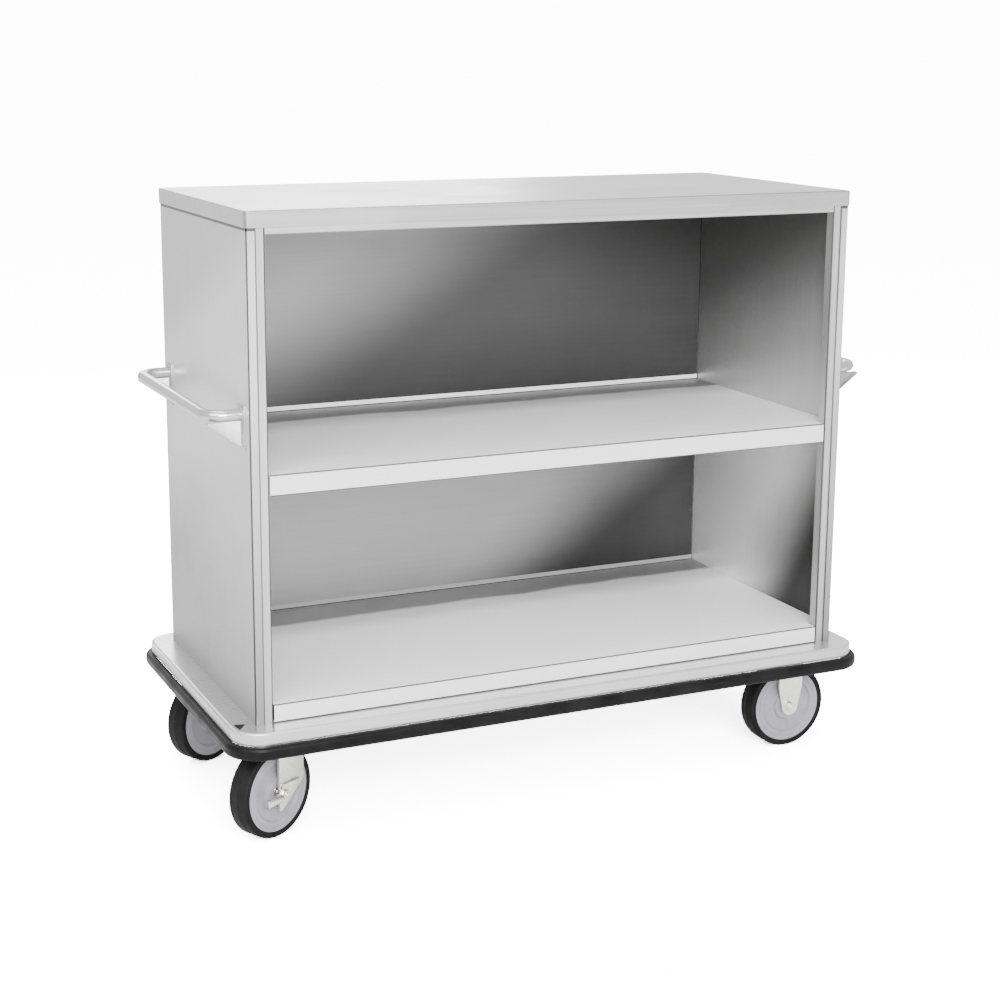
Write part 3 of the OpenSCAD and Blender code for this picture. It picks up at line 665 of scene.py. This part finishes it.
def outward(mesh):
    """Turns every face of a closed mesh outwards, with doubled points merged."""
    work = bmesh.new()
    work.from_mesh(mesh)
    bmesh.ops.remove_doubles(work, verts=work.verts, dist=1e-6)
    bmesh.ops.recalc_face_normals(work, faces=work.faces)
    work.to_mesh(mesh)
    work.free()
    return mesh


def ring_points(centre, axis, radius, count):
    """Points round an axis."""
    turn = Vector(axis).to_track_quat("Z", "Y")
    angles = [2 * math.pi * step / count for step in range(count)]
    return [centre + turn @ Vector((radius * math.cos(a), radius * math.sin(a), 0.0)) for a in angles]


# ---- wheels ----


def half_size(node):
    low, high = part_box(node)
    return (high - low) / 2


WHEEL_R, TYRE_HALF = half_size("front_right_tyre").z, half_size("front_right_tyre").y
CORE_R, BOSS_HALF = half_size("front_right_hub").z, half_size("front_right_hub").y
BEARING_R, BEARING_W = 0.0175, 0.011
SLEEVE_R = 0.0101
RACE_WALL, CONE_WALL = 0.0024, 0.0022
BALLS_PER_ROW, BALL_R = 9, 0.0022


def mirrored_outline(half):
    """An outline from its upper half, which runs outwards from the axle."""
    return half + [(r, -h, bend) for r, h, bend in reversed(half)]


def tyre_outline():
    """A low crowned tread with soft shoulders, a mould line round its middle and a sidewall rib."""
    rib, side = CORE_R + 0.0058, TYRE_HALF
    return rounded(mirrored_outline([
        (CORE_R, side - 0.0012, 0.0004), (CORE_R + 0.0026, side, 0.0010), (rib - 0.0010, side, 0.0003),
        (rib - 0.0007, side - 0.0006, 0.0003), (rib + 0.0007, side - 0.0006, 0.0003),
        (rib + 0.0010, side, 0.0003), (WHEEL_R - 0.0007, side, 0.0052), (WHEEL_R - 0.0003, 0.0012, 0),
        (WHEEL_R, 0.0006, 0)]))


def core_outline():
    """Wheel core: bearing boss, dished web, raised rim with a groove, bevelled to the tyre."""
    seat, face = BOSS_HALF - BEARING_W, TYRE_HALF - 0.001
    web, rim = face - 0.005, CORE_R - 0.021
    groove = CORE_R - 0.0095
    return rounded(mirrored_outline([
        (0.014, seat, 0), (BEARING_R, seat, 0), (BEARING_R, BOSS_HALF, 0.0006),
        (0.033, BOSS_HALF, 0.0016), (0.036, web, 0.0030), (rim - 0.003, web, 0.0030),
        (rim, face, 0.0014), (groove - 0.0012, face, 0.0004), (groove - 0.0008, face - 0.0009, 0.0003),
        (groove + 0.0008, face - 0.0009, 0.0003), (groove + 0.0012, face, 0.0004),
        (CORE_R - 0.002, face, 0.0010), (CORE_R, face - 0.001, 0)]))


def ring_outline(inner, outer, low, high, bend):
    return rounded([(inner, low, bend), (inner, high, bend), (outer, high, bend), (outer, low, bend)], 3)


def wheel_place(caster):
    """The wheel's own axes: Z along the axle, its origin at the wheel's middle."""
    joint = JOINTS[caster + "_spin"]
    axle, up = Vector(joint["axis"]).normalized(), Vector((0, 0, 1))
    ahead = up.cross(axle)
    turn = Matrix((ahead, up, axle)).transposed()
    return Matrix.Translation(joint["pos_m"]) @ turn.to_4x4()


def make_wheel(caster):
    body, place = caster + "_wheel", wheel_place(caster)
    keep(caster + "_tyre_tread", turned(tyre_outline(), place, 128), TREAD, body,
         (caster + "_tyre",))
    keep(caster + "_wheel_core", turned(core_outline(), place, 128), CORE, body,
         (caster + "_hub",))
    for end, side in (("outer", 1), ("inner", -1)):
        middle = side * (BOSS_HALF - BEARING_W / 2)
        low, high = middle - BEARING_W / 2, middle + BEARING_W / 2
        race = ring_outline(BEARING_R - RACE_WALL, BEARING_R, low, high, 0.0004)
        cone = ring_outline(SLEEVE_R, SLEEVE_R + CONE_WALL, low, high, 0.0004)
        seal = ring_outline(SLEEVE_R + 0.0023, BEARING_R - 0.0025, side * (BOSS_HALF - 0.0012),
                            side * (BOSS_HALF - 0.0004), 0.0001)
        stood_for = (caster + "_bearings",) if side > 0 else ()
        keep(f"{caster}_{end}_race", turned(race, place, 64), GROUND, body, stood_for)
        keep(f"{caster}_{end}_cone", turned(cone, place, 64), GROUND, body)
        keep(f"{caster}_{end}_seal", turned(seal, place, 64), TREAD, body)
        spots = ring_points(Vector((0, 0, middle)), (0, 0, 1), (SLEEVE_R + BEARING_R) / 2,
                            BALLS_PER_ROW)
        balls = grown("balls", BALLS, GROUND, spots, facing=[(0, 0, 1)] * BALLS_PER_ROW,
                      radius=BALL_R)
        balls.transform(place)
        keep(f"{caster}_{end}_balls", balls, None, body)


for caster in CASTERS:
    make_wheel(caster)

# ---- caster steel ----

for caster in CASTERS:
    yoke = caster + "_yoke" if caster.endswith("left") else "cart"
    softened(caster + "_fork", 0.0009, yoke)
    softened(caster + "_axle", 0.0007, yoke)
    if caster.endswith("left"):
        softened(caster + "_caster_plate", 0.0007, "cart")
        softened(caster + "_kingpin", 0.0006, "cart")
        softened(caster + "_brake_lever", 0.0010, caster + "_brake")

BOLT_X, BOLT_Y = 0.046, 0.0335
PLATE_T, PAD_T = 0.006, 0.004


def caster_bolts():
    """Four bolts through each mounting plate, heads down, with their nuts inside the rails."""
    spots = []
    for caster in CASTERS:
        node = caster + ("_caster_plate" if caster.endswith("left") else "_fork")
        low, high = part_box(node)
        middle, under = (low + high) / 2, high.z - PLATE_T
        spots += [(middle.x + across * BOLT_X, middle.y + along * BOLT_Y, under)
                  for across in (-1, 1) for along in (-1, 1)]
    mesh = grown("bolts", BOLT, YELLOW, spots, facing=[(0, 0, 1)] * len(spots), grip=PLATE_T + PAD_T)
    keep("caster_bolt_sets", mesh, None, "cart", ("caster_bolts", "caster_nuts"), 25.0)


caster_bolts()

# ---- bumper ----

DECK_CORNER = 0.060


def bumper_strip():
    """A black strip for the deck's track: rounded outer face, a lip above and below.

    Known fault: the profile hangs down from its height, so the strip sits one strip's depth
    under its track. The height to give is high.z, not low.z.
    """
    low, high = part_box("bumper")
    out = (high.x - low.x) / 2 - DECK_HIGH.x
    tall = high.z - low.z
    middle = tall / 2
    track_half, track_t = 0.0100, 0.0020
    taper, shoulder, crown, edge = 0.0035, 0.0062, 0.0065, 0.0004
    outline = rounded([
        (0.0, 0.0, edge), (out - taper, 0.0, shoulder), (out, tall * 0.28, crown),
        (out, tall * 0.72, crown), (out - taper, tall, shoulder), (0.0, tall, edge),
        (0.0, middle + track_half, 0), (track_t, middle + track_half, 0),
        (track_t, middle - track_half, 0), (0.0, middle - track_half, 0)], 6)
    loop = [(i, (i + 1) % len(outline)) for i in range(len(outline))]
    mesh = grown("bumper", STRIP, BUMPER, [(p.x, p.y, 0.0) for p in outline], loop,
                 length=2 * DECK_HIGH.x, depth=2 * DECK_HIGH.y, corner=DECK_CORNER, height=low.z)
    keep("bumper_strip", outward(mesh), None, "cart", ("bumper",))


bumper_strip()

# ---- handles ----

GRIP_R, GRIP_BEND = 0.0125, 0.040
BRACKET_T, SHEET_T = 0.003, 0.0015
BEAD_R, BEAD_PITCH = 0.0019, 0.0022
WEB_TOP, WEB_BEADS = 0.016, 20    # the bead down each side of a gusset
RIVET_R, RIVET_DOME = 0.0044, 0.0015
RIVET_SIDE = 0.014                # a bracket's rivets from the middle of its leg
BACK_ROWS, BACK_LIFT, BACK_DOME, BACK_TAIL = 10, 0.0004, 0.0009, 0.0034


def make_handle(name, side):
    """One tube handle with its brackets and welds on an end of the cabinet."""
    low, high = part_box(name + "_handle_tube")
    reach = (side * (high.x if side > 0 else low.x) - GRIP_R) * side
    foot = side * (CABINET_X + BRACKET_T)
    leg, height = high.y - GRIP_R, (low.z + high.z) / 2
    path = [(foot, -leg, height), (reach, -leg, height), (reach, leg, height), (foot, leg, height)]
    tube = grown(name + "_tube", TUBE, GRIP, path, [(0, 1), (1, 2), (2, 3)], radius=GRIP_R, bend=GRIP_BEND)
    keep(name + "_handle_bar", outward(tube), None, "cart", (name + "_handle_tube",))
    softened(name + "_handle_brackets", 0.0006, "cart")
    beads, ways = [], []
    for end in (-leg, leg):
        ring = ring_points(Vector((foot, end, height)), (side, 0, 0), GRIP_R + 0.0009, 34)
        web = [Vector((foot, end + edge, height - WEB_TOP - BEAD_PITCH * step))
               for edge in (-0.0025, 0.0025) for step in range(WEB_BEADS)]
        beads += ring + web
        ways += [(spot - Vector((foot, end, height))).normalized() + Vector((side, 0, 0)) for spot in ring]
        ways += [(side, math.copysign(1.0, spot.y - end), 0.0) for spot in web]
    keep(name + "_handle_welds", grown("welds", BEAD, WELD, beads, facing=ways, size=BEAD_R, seed=7),
         None, "cart")


for name, side in (("left", -1), ("right", 1)):
    make_handle(name, side)


def rivet_heads():
    """Domed heads on the handle brackets and down both edges of the back panel."""
    low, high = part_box("handle_rivets")
    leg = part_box("left_handle_tube")[1].y - GRIP_R
    height = (low.z + high.z) / 2
    spots = [((CABINET_X + BRACKET_T) * side, leg * end + RIVET_SIDE * across, height)
             for side in (-1, 1) for end in (-1, 1) for across in (-1, 1)]
    ways = [(math.copysign(1.0, spot[0]), 0, 0) for spot in spots]
    mesh = grown("rivets", RIVET, BRACKET, spots, facing=ways, radius=RIVET_R, height=RIVET_DOME,
                 tail=BRACKET_T + SHEET_T)
    keep("handle_rivet_heads", mesh, None, "cart", ("handle_rivets",))
    low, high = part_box("back_rivets")
    pitch = (high.z - low.z - 2 * RIVET_R) / (BACK_ROWS - 1)
    spots = [(side * (high.x - RIVET_R), CABINET_Y + BACK_LIFT, low.z + RIVET_R + row * pitch)
             for side in (-1, 1) for row in range(BACK_ROWS)]
    # The back rivets take the back panel's finish, so its painted shade runs over their tail ends inside.
    mesh = grown("rivets", RIVET, BACK, spots, facing=[(0, 1, 0)] * len(spots), radius=RIVET_R,
                 height=BACK_DOME, tail=BACK_TAIL)
    keep("back_rivet_heads", mesh, None, "cart", ("back_rivets",))


rivet_heads()


def corner_shade_fill():
    """A black filler in the deck's three-cornered opening, a little below the sheet: a dark piece that
    stands for the shade down the opening.
    """
    corner_x, corner_y = DECK_LOW.x, DECK_LOW.y
    inset, sunk, depth = 0.0010, 0.0006, 0.006
    outline = rounded([(corner_x + 0.009 + inset, corner_y + 0.078 - inset, 0.001),
                       (corner_x + 0.036 - inset, corner_y + 0.072 - inset, 0.001),
                       (corner_x + 0.013 + inset, corner_y + 0.040 + inset, 0.001)], 4)
    work = bmesh.new()
    top = DECK_HIGH.z - sunk
    face = work.faces.new([work.verts.new((p.x, p.y, top)) for p in outline])
    deep = bmesh.ops.extrude_face_region(work, geom=[face])["geom"]
    foot = [item for item in deep if isinstance(item, bmesh.types.BMVert)]
    bmesh.ops.translate(work, vec=(0, 0, -depth), verts=foot)
    bmesh.ops.recalc_face_normals(work, faces=work.faces)
    mesh = bpy.data.meshes.new("corner_shade_fill")
    work.to_mesh(mesh)
    work.free()
    keep("corner_shade_fill", mesh, BUMPER, "cart")


corner_shade_fill()

# ---- studio ----

ROOM_LIGHT = 1.6                  # what the object sees all round it
BACKDROP = 14.0                   # what the camera sees behind it
FLOOR_GAIN = 8.6                  # how bright the camera sees the floor


def studio_floor():
    mesh = bpy.data.meshes.new("studio_floor")
    half = 40.0
    mesh.from_pydata([(-half, -half, 0), (half, -half, 0), (half, half, 0), (-half, half, 0)],
                     [], [(0, 1, 2, 3)])
    floor = bpy.data.objects.new("studio_floor", mesh)
    bpy.context.scene.collection.objects.link(floor)
    made = bpy.data.materials.new("pale_floor")
    made.use_nodes = True
    tree = made.node_tree
    tree.nodes.clear()
    place = add(tree, "ShaderNodeTexCoord").outputs["Object"]
    tone = mixed(tree, noise(tree, place, 0.6, 2.0, 0.5), grey(0.80), grey(0.84))
    seen = add(tree, "ShaderNodeLightPath").outputs["Is Camera Ray"]
    colour = mixed(tree, seen, tone, grey(FLOOR_GAIN))
    matt = add(tree, "ShaderNodeBsdfDiffuse", {"Color": colour})
    add(tree, "ShaderNodeOutputMaterial", {"Surface": matt.outputs[0]})
    mesh.materials.append(made)


def soft_box(name, place, target, width, height, power):
    light = bpy.data.lights.new(name, "AREA")
    light.shape = "RECTANGLE"
    light.size, light.size_y = width, height
    light.energy = power
    lamp = bpy.data.objects.new(name, light)
    lamp.location = place
    lamp.rotation_mode = "QUATERNION"
    lamp.rotation_quaternion = (Vector(target) - Vector(place)).to_track_quat("-Z", "Y")
    bpy.context.scene.collection.objects.link(lamp)


def studio_lights():
    world = bpy.data.worlds.new("studio")
    bpy.context.scene.world = world
    world.use_nodes = True
    tree = world.node_tree
    seen = add(tree, "ShaderNodeLightPath").outputs["Is Camera Ray"]
    strength = add(tree, "ShaderNodeMix", {0: seen, 2: ROOM_LIGHT, 3: BACKDROP}, data_type="FLOAT")
    sky = tree.nodes["Background"]
    sky.inputs["Color"].default_value = grey(1.0)
    tree.links.new(strength.outputs[0], sky.inputs["Strength"])
    middle = (0.0, 0.0, 0.7)
    soft_box("front", (-1.4, -5.2, 2.9), middle, 3.0, 1.8, 540.0)
    soft_box("key", (-3.6, -2.6, 3.4), middle, 2.6, 2.6, 140.0)
    soft_box("overhead", (0.0, 0.2, 4.6), middle, 3.2, 3.2, 120.0)
    soft_box("rear", (0.6, 4.4, 2.6), middle, 3.0, 2.0, 90.0)


# ---- camera ----

SENSOR = 36.0
LENS = 67.76
CAMERA_TURN = -24.40
CAMERA_DOWN = 12.0
CAMERA_ROLL = 0.26
CAMERA_PLACE = (-1.8226, -3.8576, 1.6597)
SHIFT_X = 0.0258
SHIFT_Y = -0.0599


def aim_camera():
    """A view from the left of the open front, a little above the cart."""
    azimuth, drop, roll = map(math.radians, (CAMERA_TURN, CAMERA_DOWN, CAMERA_ROLL))
    back = Vector((math.sin(azimuth) * math.cos(drop), -math.cos(azimuth) * math.cos(drop), math.sin(drop)))
    right = (-back).cross(Vector((0, 0, 1))).normalized()
    up = right.cross(-back)
    across = math.cos(roll) * right + math.sin(roll) * up
    upright = -math.sin(roll) * right + math.cos(roll) * up
    camera = bpy.data.cameras.new("view")
    camera.sensor_width = SENSOR
    camera.lens = LENS
    camera.shift_x, camera.shift_y = SHIFT_X, SHIFT_Y
    camera.clip_start, camera.clip_end = 0.05, 100.0
    holder = bpy.data.objects.new("view", camera)
    turn = Matrix((across, upright, back)).transposed()
    holder.matrix_world = Matrix.Translation(CAMERA_PLACE) @ turn.to_4x4()
    bpy.context.scene.collection.objects.link(holder)
    bpy.context.scene.camera = holder


studio_floor()
studio_lights()
aim_camera()
